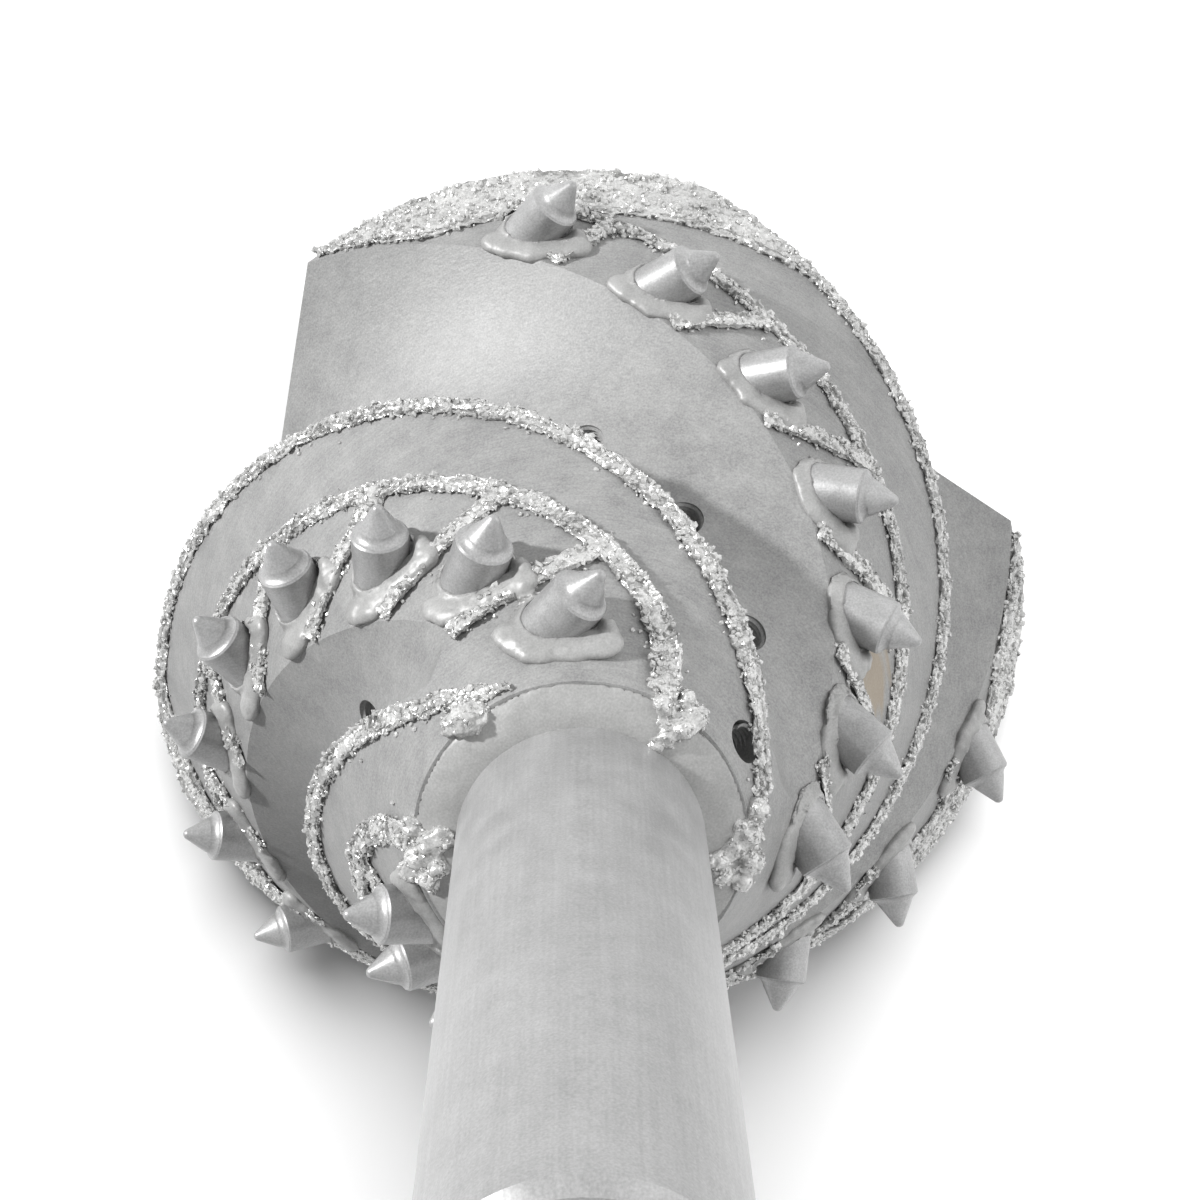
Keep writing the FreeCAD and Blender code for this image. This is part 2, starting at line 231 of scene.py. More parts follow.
def silver_enamel(name, kind, roughness, metallic, peel_mm, peel_height):
    """Satin aluminium-flake enamel: clouds 16 mm wide, and flakes.

    Real flakes are 0.03 mm wide; they are drawn at 0.8 mm, so that they show. The orange peel's
    width and height are in mm. Returns the material, its node tree, the object's coordinates and
    the peel's bump.
    """
    paint = bpy.context.scene.reamer_paint
    material = bpy.data.materials.new(name)
    material.use_nodes = True
    tree = material.node_tree
    shader = tree.nodes["Principled BSDF"]
    place = add_node(tree, "ShaderNodeTexCoord").outputs["Object"]
    clouds = add_node(tree, "ShaderNodeTexNoise", {
        "Vector": place, "Scale": 1 / (16 * MM), "Detail": 5.0, "Roughness": 0.65})
    flakes = add_node(tree, "ShaderNodeTexNoise", {
        "Vector": place, "Scale": 1 / (0.8 * MM), "Detail": 2.0})
    blend = add_node(tree, "ShaderNodeMix", {
        "Factor": 0.5, "A": clouds.outputs["Fac"], "B": flakes.outputs["Fac"]}, data_type="FLOAT")
    ramp = add_node(tree, "ShaderNodeValToRGB", {"Fac": blend.outputs["Result"]})
    for stop, position, tone in zip(ramp.color_ramp.elements, (0.34, 0.66), ("dark", "pale")):
        stop.position = position
        stop.color = getattr(paint, f"{kind}_{tone}")
    tree.links.new(ramp.outputs["Color"], shader.inputs["Base Color"])
    rough = add_node(tree, "ShaderNodeMapRange", {
        "Value": clouds.outputs["Fac"], "From Min": 0.3, "From Max": 0.7,
        "To Min": roughness - 0.06, "To Max": roughness + 0.06})
    tree.links.new(rough.outputs["Result"], shader.inputs["Roughness"])
    shader.inputs["Metallic"].default_value = metallic
    peel = add_node(tree, "ShaderNodeTexNoise", {
        "Vector": place, "Scale": 1 / (peel_mm * MM), "Detail": 3.0})
    bump = add_node(tree, "ShaderNodeBump", {
        "Height": peel.outputs["Fac"], "Strength": 1.0, "Distance": peel_height * MM})
    tree.links.new(bump.outputs["Normal"], shader.inputs["Normal"])
    return material, tree, place, bump


def round_the_axis(tree, place):
    """Coordinates that change slowly round the tool axis, so that noise becomes milled lines."""
    parts = add_node(tree, "ShaderNodeSeparateXYZ", {"Vector": place})
    flat = add_node(
        tree, "ShaderNodeVectorMath", {0: place, 1: (1.0, 1.0, 0.0)}, operation="MULTIPLY")
    radius = add_node(tree, "ShaderNodeVectorMath", {0: flat.outputs["Vector"]}, operation="LENGTH")
    turn = add_node(
        tree, "ShaderNodeMath", {0: parts.outputs["Y"], 1: parts.outputs["X"]}, operation="ARCTAN2")
    slow = add_node(
        tree, "ShaderNodeMath", {0: turn.outputs["Value"], 1: 8 * MM}, operation="MULTIPLY")
    lines = add_node(tree, "ShaderNodeCombineXYZ", {
        "X": radius.outputs["Value"], "Y": slow.outputs["Value"], "Z": parts.outputs["Z"]})
    return lines.outputs["Vector"]


def streaked(tree, lines, darkest):
    """Darkens the paint along fine lines, down to a share of its colour. Returns the new paint."""
    shader = tree.nodes["Principled BSDF"]
    plain = shader.inputs["Base Color"].links[0].from_socket
    shade = add_node(tree, "ShaderNodeMapRange", {
        "Value": lines.outputs["Fac"], "From Min": 0.35, "From Max": 0.65,
        "To Min": darkest, "To Max": STREAK_PALEST})
    paint = add_node(
        tree, "ShaderNodeMix", {"Factor": 1.0, "A": plain, "B": shade.outputs["Result"]},
        data_type="RGBA", blend_type="MULTIPLY")
    tree.links.new(paint.outputs["Result"], shader.inputs["Base Color"])
    return paint.outputs["Result"]


def head_finish():
    """Enamel on milled steel: the cutter's arcs, 1.1 mm wide, show, and one patch is beige."""
    material, tree, place, bump = silver_enamel(
        "satin silver enamel on milled steel", "head", 0.52, 0.10, 1.2, 0.07)
    shader = tree.nodes["Principled BSDF"]
    lines = add_node(tree, "ShaderNodeTexNoise", {
        "Vector": round_the_axis(tree, place), "Scale": 1 / (1.1 * MM), "Detail": 4.0})
    marks = add_node(tree, "ShaderNodeBump", {
        "Height": lines.outputs["Fac"], "Normal": bump.outputs["Normal"], "Distance": 0.08 * MM})
    tree.links.new(marks.outputs["Normal"], shader.inputs["Normal"])
    paint = streaked(tree, lines, 0.92)
    away = add_node(tree, "ShaderNodeVectorMath", {0: place, 1: RUBBED_SPOT}, operation="DISTANCE")
    scratches = add_node(tree, "ShaderNodeTexNoise", {
        "Vector": round_the_axis(tree, place), "Scale": 1 / (6 * MM), "Detail": 4.0})
    ragged = add_node(
        tree, "ShaderNodeMath",
        {0: scratches.outputs["Fac"], 1: RUBBED_RAGGED, 2: away.outputs["Value"]},
        operation="MULTIPLY_ADD")
    patch = add_node(tree, "ShaderNodeMapRange", {
        "Value": ragged.outputs["Value"], "From Min": RUBBED_INSIDE, "From Max": RUBBED_OUTSIDE,
        "To Min": 0.7, "To Max": 0.0})
    worn = add_node(tree, "ShaderNodeMix", {"Factor": patch.outputs["Result"]}, data_type="RGBA")
    tree.links.new(paint, worn.inputs["A"])
    worn.inputs["B"].default_value = bpy.context.scene.reamer_paint.rubbed
    tree.links.new(worn.outputs["Result"], shader.inputs["Base Color"])
    return material


def shaft_finish():
    """Enamel on drawn pipe: faint streaks, 1.4 mm wide, run along it."""
    material, tree, place, bump = silver_enamel(
        "satin silver enamel on drawn pipe", "shaft", 0.40, 0.25, 1.0, 0.025)
    stretched = add_node(tree, "ShaderNodeMapping", {"Vector": place, "Scale": (1.0, 1.0, 0.02)})
    streaks = add_node(tree, "ShaderNodeTexNoise", {
        "Vector": stretched.outputs["Vector"], "Scale": 1 / (1.4 * MM), "Detail": 3.0})
    marks = add_node(tree, "ShaderNodeBump", {
        "Height": streaks.outputs["Fac"], "Normal": bump.outputs["Normal"], "Distance": 0.02 * MM})
    tree.links.new(marks.outputs["Normal"], tree.nodes["Principled BSDF"].inputs["Normal"])
    streaked(tree, streaks, 0.96)
    return material


def holder_finish():
    """Enamel on turned bar: an even satin with a grainy spray."""
    return silver_enamel("satin silver enamel on turned bar", "holder", 0.40, 0.40, 0.7, 0.06)[0]


def tip_finish():
    """Enamel on pressed carbide: a little brighter and smoother than the bar."""
    return silver_enamel("satin silver enamel on pressed carbide", "tip", 0.38, 0.45, 0.6, 0.05)[0]


def weld_finish():
    """Enamel on weld metal: paler and smoother than the steel, because paint pools on the bead."""
    return silver_enamel("silver enamel on weld bead", "weld", 0.46, 0.15, 2.5, 0.10)[0]


def grain_finish():
    """Enamel on crushed carbide: broken faces that glitter."""
    return silver_enamel("silver enamel on crushed carbide", "grain", 0.24, 0.50, 0.9, 0.12)[0]


FINISHES = {
    "head": head_finish, "shaft": shaft_finish, "holder": holder_finish, "tip": tip_finish,
    "weld": weld_finish, "grain": grain_finish}
MADE = {}


def finish(kind):
    """The finish of a kind, made once."""
    if kind not in MADE:
        MADE[kind] = FINISHES[kind]()
    return MADE[kind]


# Hardfacing


def grain_shapes(count, chance):
    """Vertices and faces of a few broken grains, each about one unit across."""
    shapes = []
    for _ in range(count):
        bpy.ops.object.select_all(action="DESELECT")
        bpy.ops.mesh.primitive_ico_sphere_add(subdivisions=1, radius=0.5)
        grain = bpy.context.object
        stretch = Vector([chance.uniform(0.75, 1.25) for _ in range(3)])
        points = []
        for vertex in grain.data.vertices:
            point = vertex.co * chance.uniform(0.72, 1.25)
            points.append([point[i] * stretch[i] for i in range(3)])
        faces = [list(face.vertices) for face in grain.data.polygons]
        shapes.append((np.array(points), faces))
        bpy.data.objects.remove(grain)
    return shapes


def grain_spots(piece, count, spread, chance):
    """Random spots on the outer side of a ridge, each moved along its face's normal by up to the
    spread.
    """
    mesh = piece.data
    mesh.calc_loop_triangles()
    corners = np.array([v.co for v in mesh.vertices])
    triangles = np.array([t.vertices for t in mesh.loop_triangles])
    a, b, c = (corners[triangles[:, i]] for i in range(3))
    normal = np.cross(b - a, c - a)
    area = np.linalg.norm(normal, axis=1)
    middle = (a + b + c) / 3
    out = np.column_stack([middle[:, 0], middle[:, 1], np.zeros(len(middle))])
    out /= np.linalg.norm(out, axis=1)[:, None]
    out[:, 2] = LAND_SLOPE
    facing = (normal * out).sum(axis=1) / np.maximum(area, 1e-12)
    weight = area * (facing > -0.15)
    chosen = chance.choice(len(triangles), count, p=weight / weight.sum())
    share = chance.random((count, 2))
    share = np.where(share.sum(axis=1)[:, None] > 1, 1 - share, share)
    spots = a[chosen] + share[:, :1] * (b - a)[chosen] + share[:, 1:] * (c - a)[chosen]
    away = normal[chosen] / area[chosen][:, None]
    return spots + away * chance.uniform(-1.0, 1.0, (count, 1)) * spread


def loosened(spot, blade, reach, numbers):
    """A spot moved aside onto the bare land, or the same spot where that would be off the land."""
    moved = Vector(spot) + Vector(numbers.normal(0, reach, 3).tolist())
    moved -= land_direction(moved) * (land_height(moved) - 0.2 * MM)
    return np.array(moved) if inside_land(moved, blade, 1 * MM) else spot


def add_grains(piece, blade, count, smallest, largest, spread, seed):
    """Joins broken grains of random sizes to a ridge, part sunk in it, and a few beside it."""
    chance = random.Random(seed)
    numbers = np.random.default_rng(seed)
    shapes = grain_shapes(8, chance)
    points, faces = [], []
    start = 0
    for spot in grain_spots(piece, count, spread, numbers):
        shape, shape_faces = shapes[chance.randrange(len(shapes))]
        size = smallest + (largest - smallest) * chance.random() ** 2
        if chance.random() < LOOSE_SHARE:
            spot = loosened(spot, blade, LOOSE_REACH, numbers)
            size = min(size, LOOSE_SIZE * largest)
        axis = Vector([chance.gauss(0, 1) for _ in range(3)]).normalized()
        turn = np.array(Matrix.Rotation(chance.uniform(0, math.tau), 3, axis))
        points.append(shape @ turn.T * size + spot)
        faces += [[start + index for index in face] for face in shape_faces]
        start += len(shape)
    mesh = bpy.data.meshes.new(piece.name + "_grains")
    mesh.from_pydata(np.concatenate(points).tolist(), [], faces)
    grains = bpy.data.objects.new(mesh.name, mesh)
    bpy.context.scene.collection.objects.link(grains)
    join_to(piece, [grains])


# Property groups


def length_setting(name, description, default):
    """A length that the user can change, with its default in metres."""
    return bpy.props.FloatProperty(
        name=name, description=description, default=default, unit="LENGTH")


def colour_setting(name, description, default):
    """A colour that the user can change, with its default as an sRGB hex value."""
    return bpy.props.FloatVectorProperty(
        name=name, description=description, default=linear(default), subtype="COLOR", size=4,
        min=0.0, max=1.0)


class ReamerPaint(bpy.types.PropertyGroup):
    """Darkest and palest tone of the enamel on each kind of piece."""

    head_dark: colour_setting("Head, dark", "Darkest enamel on the milled head", "#8E8E8E")
    head_pale: colour_setting("Head, pale", "Palest enamel on the milled head", "#B4B4B3")
    shaft_dark: colour_setting("Shaft, dark", "Darkest enamel on the pipe", "#A2A2A2")
    shaft_pale: colour_setting("Shaft, pale", "Palest enamel on the pipe", "#C0C0C0")
    holder_dark: colour_setting("Holders, dark", "Darkest enamel on the tooth holders", "#989898")
    holder_pale: colour_setting("Holders, pale", "Palest enamel on the tooth holders", "#BEBEBE")
    tip_dark: colour_setting("Tips, dark", "Darkest enamel on the carbide tips", "#9A9A9A")
    tip_pale: colour_setting("Tips, pale", "Palest enamel on the carbide tips", "#C0C0C0")
    weld_dark: colour_setting("Welds, dark", "Darkest enamel on the weld beads", "#A0A09F")
    weld_pale: colour_setting("Welds, pale", "Palest enamel on the weld beads", "#BCBCBB")
    grain_dark: colour_setting("Grains, dark", "Darkest enamel on the hardfacing", "#ACACAB")
    grain_pale: colour_setting("Grains, pale", "Palest enamel on the hardfacing", "#E6E6E5")
    rubbed: colour_setting("Rubbed patch", "Tone where the enamel is rubbed through", "#A3937C")


class ReamerHardfacing(bpy.types.PropertyGroup):
    """Sizes of the crushed carbide on the blades."""

    voxel: length_setting("Mesh size", "Face size of the matrix between the grains", 1.3 * MM)
    roughness: length_setting("Roughness", "Height of the lumps in the matrix", 2.2 * MM)
    grains: bpy.props.IntProperty(
        name="Grains", description="Number of grains on each blade", default=4200, min=0)
    smallest: length_setting("Smallest grain", "Size of the finest grains", 1.2 * MM)
    largest: length_setting("Largest grain", "Size of the coarsest grains", 3.6 * MM)


class ReamerWelds(bpy.types.PropertyGroup):
    """Sizes of the weld beads."""

    voxel: length_setting("Mesh size", "Face size of the weld beads", 1.1 * MM)
    lumps: length_setting("Lumps", "Height of the lumps along the beads", 2.4 * MM)
    lump_size: length_setting("Lump size", "Width of the lumps along the beads", 7.0 * MM)


class ReamerThreads(bpy.types.PropertyGroup):
    """Sizes of the threads."""

    port_pitch: length_setting("Port pitch", "Pitch of the threads in the ports", 2.0 * MM)
    socket_pitch: length_setting("Socket pitch", "Pitch of the threads in the shaft", 5.08 * MM)


# Operators


class REAMER_OT_paint(bpy.types.Operator):
    """Paints the solids that keep their own shape"""

    bl_idname = "reamer.paint"
    bl_label = "Paint the steel"

    def execute(self, context):
        for name, node in frame["nodes"].items():
            kind = name.split("_")[0]
            if kind in ("head", "shaft", "holder", "tip"):
                for slot in node.material_slots:
                    slot.material = finish(kind)
        return {"FINISHED"}


class REAMER_OT_hardfacing(bpy.types.Operator):
    """Covers the ridges on each blade with broken carbide grains"""

    bl_idname = "reamer.hardfacing"
    bl_label = "Hardfacing"

    # How far grains stand off the matrix or sink into it
    SPREAD = 0.5 * MM

    def execute(self, context):
        sizes = context.scene.reamer_hardfacing
        waves = noise_texture("matrix waves", "CLOUDS", 9 * MM)
        lumps = noise_texture("matrix lumps", "CLOUDS", 3.5 * MM)
        for seed, blade in enumerate(BLADES):
            piece = copy_of_node(f"hardfacing_{blade}", f"carbide_ridges_{blade}")
            voxel_remesh(piece, sizes.voxel)
            for texture, strength, level in ((waves, 2.0, 0.75), (lumps, 1.0, 0.62)):
                apply_modifier(
                    piece, "DISPLACE", texture=texture, strength=strength * sizes.roughness,
                    mid_level=level, texture_coords="LOCAL")
            add_grains(
                piece, blade, sizes.grains, sizes.smallest, sizes.largest, self.SPREAD, seed + 1)
            finish_piece(piece, finish("grain"), [f"hardfacing_{blade}"])
        return {"FINISHED"}


class REAMER_OT_tooth_welds(bpy.types.Operator):
    """Makes the flat weld beads at the feet of the teeth"""

    bl_idname = "reamer.tooth_welds"
    bl_label = "Tooth welds"

    # How far the solid weld shrinks, so that the bead covers it
    SHRINK = 1.2 * MM

    # Drops of the bead on the side towards the front: their number and flatness, and in mm where
    # they start along the lean, the way from one to the next, the gap to the holder, the radius,
    # and the least distances from the tooth's middle and from the land's edges
    DROPS, FLATNESS = 19, 0.5
    START, PACE, GAP, DROP_RADIUS = -16, 1.9, 1.8, 6.6
    LEAST_ACROSS, LAND_MARGIN = 4, 6.8

    # Drops that end a bead, in mm: way along the lean, to the front and above the land, and radius
    CURL = (
        (15.5, 13.5, 0.0, 3.6), (18.0, 11.5, 0.2, 3.8),
        (19.5, 8.5, 0.5, 3.6), (19.0, 5.5, 0.5, 3.2),
    )
    CURL_MARGIN = 5

    def execute(self, context):
        sizes = context.scene.reamer_welds
        chance = random.Random(5)
        lumps = noise_texture("bead lumps", "CLOUDS", sizes.lump_size)
        ripples = noise_texture("bead ripples", "CLOUDS", 0.35 * sizes.lump_size)
        for blade in BLADES:
            piece = copy_of_node(f"tooth_welds_{blade}", f"tooth_beads_{blade}")
            tips = [
                node for name, node in frame["nodes"].items() if name.startswith(f"tip_{blade}")]
            voxel_remesh(piece, sizes.voxel)
            apply_modifier(piece, "DISPLACE", strength=-self.SHRINK, mid_level=0.0)
            join_to(piece, [drop for node in tips for drop in self.side_bead(node, blade, chance)])
            voxel_remesh(piece, sizes.voxel)
            apply_modifier(piece, "SMOOTH", factor=0.6, iterations=6)
            for texture, share in ((lumps, 0.55), (ripples, 0.22)):
                apply_modifier(
                    piece, "DISPLACE", texture=texture, strength=share * sizes.lumps, mid_level=0.5,
                    texture_coords="LOCAL")
            activate(piece)
            bpy.ops.object.shade_smooth()
            finish_piece(piece, finish("weld"), [f"tooth_welds_{blade}"])
        return {"FINISHED"}

    def side_bead(self, node, blade, chance):
        """The drops of the flat bead beside a tooth's foot and of its end, kept on the land."""
        foot, normal, lean = tooth_place(node)
        front = normal.cross(lean)
        front *= math.copysign(1, front.z)
        least = self.LEAST_ACROSS * MM
        drops = []
        for step in range(self.DROPS):
            along = (self.START + self.PACE * step + chance.uniform(-0.3, 0.3)) * MM
            across = HOLDER_RADIUS + (self.GAP + chance.uniform(-0.6, 0.6)) * MM
            radius = (self.DROP_RADIUS + chance.uniform(-0.5, 0.3)) * MM
            spot = foot + lean * along + front * across
            while across > least and not inside_land(spot, blade, self.LAND_MARGIN * MM):
                across -= 0.5 * MM
                spot -= front * 0.5 * MM
            if across > least:
                drops.append(add_drop(spot, radius, normal, self.FLATNESS))
        for along, across, height, radius in self.CURL:
            spot = foot + lean * along * MM + front * across * MM + normal * height * MM
            if inside_land(spot, blade, self.CURL_MARGIN * MM):
                drops.append(add_drop(spot, radius * MM))
        return drops


class REAMER_OT_ring_welds(bpy.types.Operator):
    """Makes the weld rings at both ends of the head"""

    bl_idname = "reamer.ring_welds"
    bl_label = "Ring welds"

    # Distance from the shaft within which a ring is drawn towards it, and by what share
    TUCK_REACH = 4 * MM
    TUCK_SHARE = 0.6

    def execute(self, context):
        sizes = context.scene.reamer_welds
        lumps = noise_texture("ring lumps", "CLOUDS", 2 * sizes.lump_size)
        for node in ("front_weld", "rear_weld"):
            piece = copy_of_node(node, node.replace("weld", "bead"))
            voxel_remesh(piece, sizes.voxel)
            apply_modifier(piece, "SMOOTH", factor=0.5, iterations=3)
            apply_modifier(
                piece, "DISPLACE", texture=lumps, strength=0.5 * sizes.lumps, mid_level=0.5,
                texture_coords="LOCAL")
            self.tuck(piece)
            activate(piece)
            bpy.ops.object.shade_smooth()
            finish_piece(piece, finish("weld"), [node])
        return {"FINISHED"}

    def tuck(self, piece):
        """Draws the ring's inner edge into the shaft, so that the two meet in a clean line."""
        for vertex in piece.data.vertices:
            radius = math.hypot(vertex.co.x, vertex.co.y)
            near = max(0.0, SHAFT_RADIUS + self.TUCK_REACH - radius)
            inward = 1 - self.TUCK_SHARE * near / radius
            vertex.co.x *= inward
            vertex.co.y *= inward


def thread(name, radius, pitch, turns, depth, steps):
    """A closed helical thread ridge inside a bore, along Z from the origin."""
    bpy.ops.object.select_all(action="DESELECT")
    bpy.ops.mesh.primitive_circle_add(vertices=3, radius=0.5 * pitch, fill_type="NOTHING")
    piece = bpy.context.object
    piece.name = piece.data.name = name
    root, half = radius + 0.1 * MM, 0.48 * pitch
    corners = ((root, -half), (radius - depth, 0), (root, half))
    for vertex, (out, along) in zip(piece.data.vertices, corners):
        vertex.co = (out, 0, along)
    apply_modifier(
        piece, "SCREW", axis="Z", angle=math.tau, screw_offset=pitch, iterations=turns, steps=steps,
        render_steps=steps, use_smooth_shade=False)
    activate(piece)
    bpy.ops.object.mode_set(mode="EDIT")
    bpy.ops.mesh.select_all(action="SELECT")
    bpy.ops.mesh.remove_doubles(threshold=SAME_SPOT)
    bpy.ops.mesh.fill_holes(sides=3)
    bpy.ops.mesh.select_all(action="SELECT")
    bpy.ops.mesh.normals_make_consistent(inside=False)
    bpy.ops.object.mode_set(mode="OBJECT")
    return piece


class REAMER_OT_spatter(bpy.types.Operator):
    """Adds the grainy lumps of weld metal round the front of the head"""

    bl_idname = "reamer.spatter"
    bl_label = "Weld lumps"

    # Radius from the axis, turn in degrees, height over the nose and size of each lump, in mm
    LUMPS = (
        (61, 131, 1, 6.5), (60, 127, 0, 4.5), (62, 136, -2, 5.0),
        (50, 53, 2, 5.0), (56, 51, 1, 5.5), (61, 49, -1, 5.0), (46, 56, 4, 4.0), (53, 58, 1, 4.0),
        (58, 60, 0, 4.5), (63, 54, -4, 4.5),
        (49, 178, 3, 5.5), (54, 182, 1, 6.0), (58, 187, 0, 5.5), (51, 190, 3, 5.0),
        (60, 176, -1, 4.5), (56, 195, 1, 5.0), (62, 192, -4, 5.5),
        (49, 352, 3, 5.0), (54, 357, 1, 5.5), (59, 1, 0, 5.0), (56, 5, 0, 4.5), (61, 351, -2, 6.0),
        (63, 8, -4, 5.0), (60, 344, -1, 4.5), (52, 346, 2, 5.0),
    )

    # Sizes and heights of the lumps' two layers of bumps, in mm, and their grains
    BUMPS = ((6.0, 4.0), (2.5, 1.6))
    GRAINS, SMALLEST, LARGEST, SPREAD, SEED = 420, 1.2 * MM, 2.8 * MM, 0.3 * MM, 9

    def execute(self, context):
        sizes = context.scene.reamer_welds
        drops = []
        for radius, turn, height, size in self.LUMPS:
            angle = math.radians(turn)
            out = radius * MM
            spot = (out * math.cos(angle), out * math.sin(angle), FRONT_Z + height * MM)
            drops.append(add_drop(spot, size * MM))
        piece = drops[0]
        join_to(piece, drops[1:])
        piece.name = piece.data.name = "weld_lumps"
        voxel_remesh(piece, sizes.voxel)
        for size, strength in self.BUMPS:
            texture = noise_texture("spatter lumps", "CLOUDS", size * MM)
            apply_modifier(
                piece, "DISPLACE", texture=texture, strength=strength * MM, mid_level=0.55,
                texture_coords="LOCAL")
        activate(piece)
        bpy.ops.object.shade_smooth()
        add_grains(piece, "a", self.GRAINS, self.SMALLEST, self.LARGEST, self.SPREAD, self.SEED)
        finish_piece(piece, finish("grain"))
        return {"FINISHED"}


class REAMER_OT_threads(bpy.types.Operator):
    """Cuts the threads in the ports and in the ends of the shaft"""

    bl_idname = "reamer.threads"
    bl_label = "Threads"

    # The ports that no mount states: name, mouth in mm, outward direction, and whether the other
    # flutes have the same one
    PORTS = (
        ("port_c3", (1.84, 108.70, 132.0), (-0.2215, 0.7677, 0.6014), True),
        ("port_nose", (59.83, 30.48, 266.0), (0.7758, 0.3953, 0.4919), False),
    )
    PORT_RADIUS = 8.0 * MM
    PORT_LENGTH = 18.0 * MM

    def execute(self, context):
        for mount in frame["record"]["mounts"]:
            if mount["kind"] != "threaded_hole":
                continue
            is_port = mount["name"].startswith("port")
            out = Vector(mount["axis"]).normalized()
            radius, reach = mount["dims"]["r_mm"] * MM, mount["dims"]["length_mm"] * MM
            mouth = Vector(mount["pos_m"]) + out * reach / 2
            self.cut(mount["name"], mouth, out, radius, reach, is_port, is_port)
        for name, mouth, out, repeated in self.PORTS:
            self.cut(
                name, Vector(mouth) * MM, Vector(out).normalized(), self.PORT_RADIUS,
                self.PORT_LENGTH, True, repeated)
        return {"FINISHED"}

    def cut(self, name, mouth, out, radius, reach, is_port, repeated):
        """One thread from the mouth of its bore inwards, and the same in the other flutes."""
        sizes = bpy.context.scene.reamer_threads
        pitch = sizes.port_pitch if is_port else sizes.socket_pitch
        turns = int(0.92 * reach / pitch)
        piece = thread(name + "_thread", radius, pitch, turns, 0.45 * pitch, 32)
        foot = mouth - out * (reach + turns * pitch) / 2
        turn = out.to_track_quat("Z", "Y").to_matrix().to_4x4()
        piece.data.transform(Matrix.Translation(foot) @ turn)
        pieces = [piece]
        if repeated:
            pieces += [self.turned_copy(piece, blade) for blade in ("a", "b")]
        carrier = "head" if is_port else "shaft"
        for each in pieces:
            finish_piece(each, finish(carrier))

    def turned_copy(self, piece, blade):
        """The same thread in the flute that follows another blade."""
        copy = piece.copy()
        copy.data = piece.data.copy()
        copy.name = copy.data.name = piece.name.replace("_c", f"_{blade}")
        bpy.context.scene.collection.objects.link(copy)
        turn = math.radians(BLADE_TURNS[blade] - BLADE_TURNS["c"])
        copy.data.transform(Matrix.Rotation(turn, 4, "Z"))
        return copy


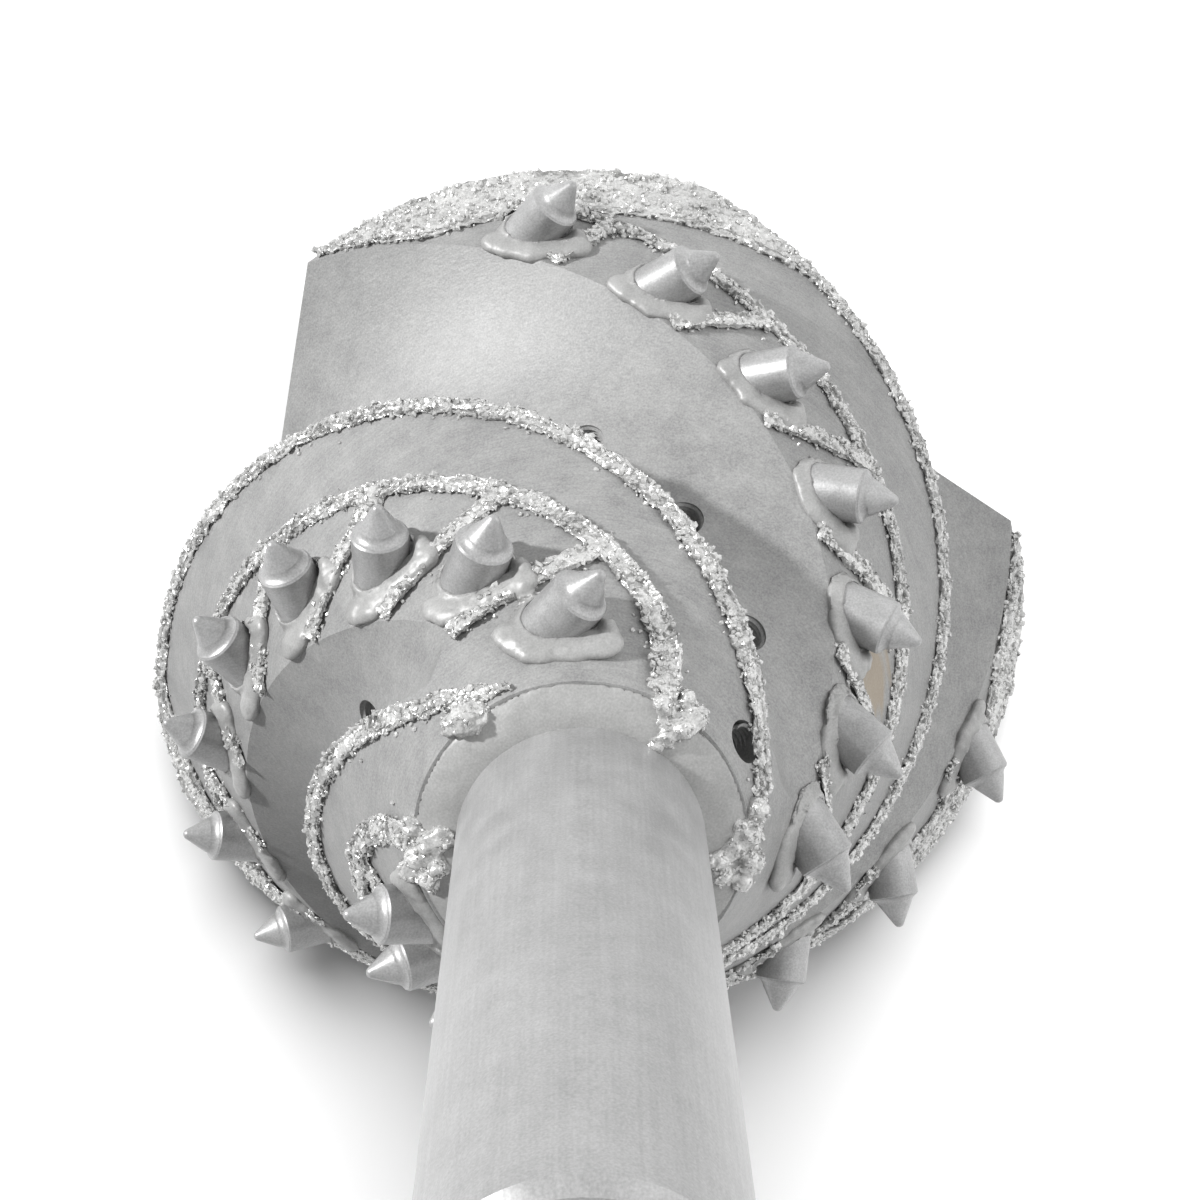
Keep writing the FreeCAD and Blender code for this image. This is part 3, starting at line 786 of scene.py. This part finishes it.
class REAMER_OT_stage(bpy.types.Operator):
    """Sets the white floor, the soft lights and the camera"""

    bl_idname = "reamer.stage"
    bl_label = "Stage"

    # Paleness of the floor where it gives light and where it is seen
    FLOOR_BOUNCE, FLOOR_SEEN = 0.08, 0.85

    # The room's top and right walls in the picture: the way to each, the cosines between which its
    # light rises, and its least and most light
    WALLS = (
        ((-0.10, 0.92, 0.38), -0.3, 0.9, 0.01, 0.22),
        ((0.94, 0.30, 0.16), 0.35, 1.0, 0.0, 1.7),
    )

    # Name, direction of the light, strength and softness in degrees. The last is the floor's own
    LAMPS = (
        ("sun", (0.80, -0.52, -0.32), 3.3, 4),
        ("fill", (-0.88, -0.40, -0.25), 0.6, 45),
        ("floor lamp", (0.0, -0.76, -0.65), 5.8, 34),
    )

    # Sensor and lens of the eye, its place, and its right, up and back in the frame
    SENSOR_MM, LENS_MM = 36.0, 69.04
    EYE = (-0.0029, 0.3346, 1.0323)
    RIGHT = (0.99993, 0.00367, 0.01127)
    UP = (0.0, 0.95089, -0.30952)
    BACK = (-0.01185, 0.30950, 0.95083)

    def execute(self, context):
        floor = self.floor()
        self.world(context.scene)
        self.lights(context.scene, floor)
        self.camera(context.scene)
        context.scene.view_settings.view_transform = "Standard"
        return {"FINISHED"}

    def floor(self):
        """A white floor that keeps the shadow."""
        bpy.ops.object.select_all(action="DESELECT")
        bpy.ops.mesh.primitive_plane_add(size=12.0, location=(0, 0, 0))
        floor = bpy.context.object
        floor.name = "floor"
        material = bpy.data.materials.new("white paper")
        material.use_nodes = True
        tree = material.node_tree
        tree.nodes.clear()
        level = add_node(tree, "ShaderNodeMapRange", {
            "Value": self.seen(tree), "To Min": self.FLOOR_BOUNCE, "To Max": self.FLOOR_SEEN})
        paper = add_node(tree, "ShaderNodeBsdfDiffuse", {"Color": level.outputs["Result"]})
        add_node(tree, "ShaderNodeOutputMaterial", {"Surface": paper.outputs["BSDF"]})
        floor.data.materials.append(material)
        return floor

    def seen(self, tree):
        """1 where a thing is seen, also in metal and through glass, and 0 where it gives light."""
        path = add_node(tree, "ShaderNodeLightPath")
        total = path.outputs["Is Camera Ray"]
        for way in ("Is Glossy Ray", "Is Transmission Ray"):
            total = add_node(
                tree, "ShaderNodeMath", {0: total, 1: path.outputs[way]},
                operation="MAXIMUM").outputs["Value"]
        return total

    def world(self, scene):
        """A white room, brighter at the top of the picture and at its right than at its bottom."""
        world = bpy.data.worlds.new("white room")
        scene.world = world
        world.use_nodes = True
        tree = world.node_tree
        tree.nodes.clear()
        place = add_node(tree, "ShaderNodeTexCoord")
        glows = []
        for way, start, end, dimmest, brightest in self.WALLS:
            side = add_node(
                tree, "ShaderNodeVectorMath", {0: place.outputs["Generated"], 1: way},
                operation="DOT_PRODUCT")
            glows.append(add_node(tree, "ShaderNodeMapRange", {
                "Value": side.outputs["Value"], "From Min": start, "From Max": end,
                "To Min": dimmest, "To Max": brightest}).outputs["Result"])
        top, right = glows
        level = add_node(tree, "ShaderNodeMath", {0: right, 1: top}, operation="ADD")
        strength = add_node(
            tree, "ShaderNodeMath", {0: level.outputs["Value"], 1: self.seen(tree)},
            operation="MAXIMUM")
        back = add_node(tree, "ShaderNodeBackground", {
            "Color": linear("#FFFFFF"), "Strength": strength.outputs["Value"]})
        add_node(tree, "ShaderNodeOutputWorld", {"Surface": back.outputs["Background"]})

    def lights(self, scene, floor):
        """A low sun from the picture's upper left, and a soft fill from its right.

        The floor has a wide lamp of its own instead, so its shadow is soft and lies under the head.
        """
        all_but_floor = bpy.data.collections.new("all but the floor")
        floor_alone = bpy.data.collections.new("floor alone")
        for receivers in (all_but_floor, floor_alone):
            receivers.objects.link(floor)
        all_but_floor.collection_objects[0].light_linking.link_state = "EXCLUDE"
        for name, direction, strength, softness in self.LAMPS:
            light = bpy.data.lights.new(name, "SUN")
            light.energy = strength
            light.angle = math.radians(softness)
            lamp = bpy.data.objects.new(name, light)
            lamp.rotation_euler = Vector(direction).to_track_quat("-Z", "Y").to_euler()
            lamp.visible_glossy = name == "sun"
            lit = floor_alone if name == "floor lamp" else all_but_floor
            lamp.light_linking.receiver_collection = lit
            scene.collection.objects.link(lamp)

    def camera(self, scene):
        """The photograph's view, from above the shaft's front end, which points to the eye."""
        eye = bpy.data.cameras.new("camera")
        eye.sensor_width = self.SENSOR_MM
        eye.lens = self.LENS_MM
        camera = bpy.data.objects.new("camera", eye)
        turn = Matrix((self.RIGHT, self.UP, self.BACK)).transposed().to_4x4()
        camera.matrix_world = Matrix.Translation(self.EYE) @ turn
        scene.collection.objects.link(camera)
        scene.camera = camera


class REAMER_PT_panel(bpy.types.Panel):
    """Lists the steps in the sidebar"""

    bl_idname = "REAMER_PT_panel"
    bl_label = "Button reamer"
    bl_space_type = "VIEW_3D"
    bl_region_type = "UI"
    bl_category = "Reamer"

    def draw(self, context):
        for group in GROUPS:
            settings = getattr(context.scene, group)
            for name in settings.__annotations__:
                self.layout.prop(settings, name)
        for step in STEPS:
            self.layout.operator(step.bl_idname)


GROUPS = {
    "reamer_paint": ReamerPaint,
    "reamer_hardfacing": ReamerHardfacing,
    "reamer_welds": ReamerWelds,
    "reamer_threads": ReamerThreads,
}
STEPS = (
    REAMER_OT_paint,
    REAMER_OT_hardfacing,
    REAMER_OT_tooth_welds,
    REAMER_OT_ring_welds,
    REAMER_OT_spatter,
    REAMER_OT_threads,
    REAMER_OT_stage,
)


def register():
    """Makes the classes known and adds their settings to the scene."""
    for kind in (*GROUPS.values(), *STEPS, REAMER_PT_panel):
        bpy.utils.register_class(kind)
    for name, kind in GROUPS.items():
        setattr(bpy.types.Scene, name, bpy.props.PointerProperty(type=kind))


def unregister():
    """Takes the settings and the classes away again."""
    for name in GROUPS:
        delattr(bpy.types.Scene, name)
    for kind in reversed((*GROUPS.values(), *STEPS, REAMER_PT_panel)):
        bpy.utils.unregister_class(kind)


def main():
    """Runs every step in order."""
    register()
    bpy.ops.reamer.paint()
    bpy.ops.reamer.hardfacing()
    bpy.ops.reamer.tooth_welds()
    bpy.ops.reamer.ring_welds()
    bpy.ops.reamer.spatter()
    bpy.ops.reamer.threads()
    bpy.ops.reamer.stage()


if __name__ == "__main__":
    main()
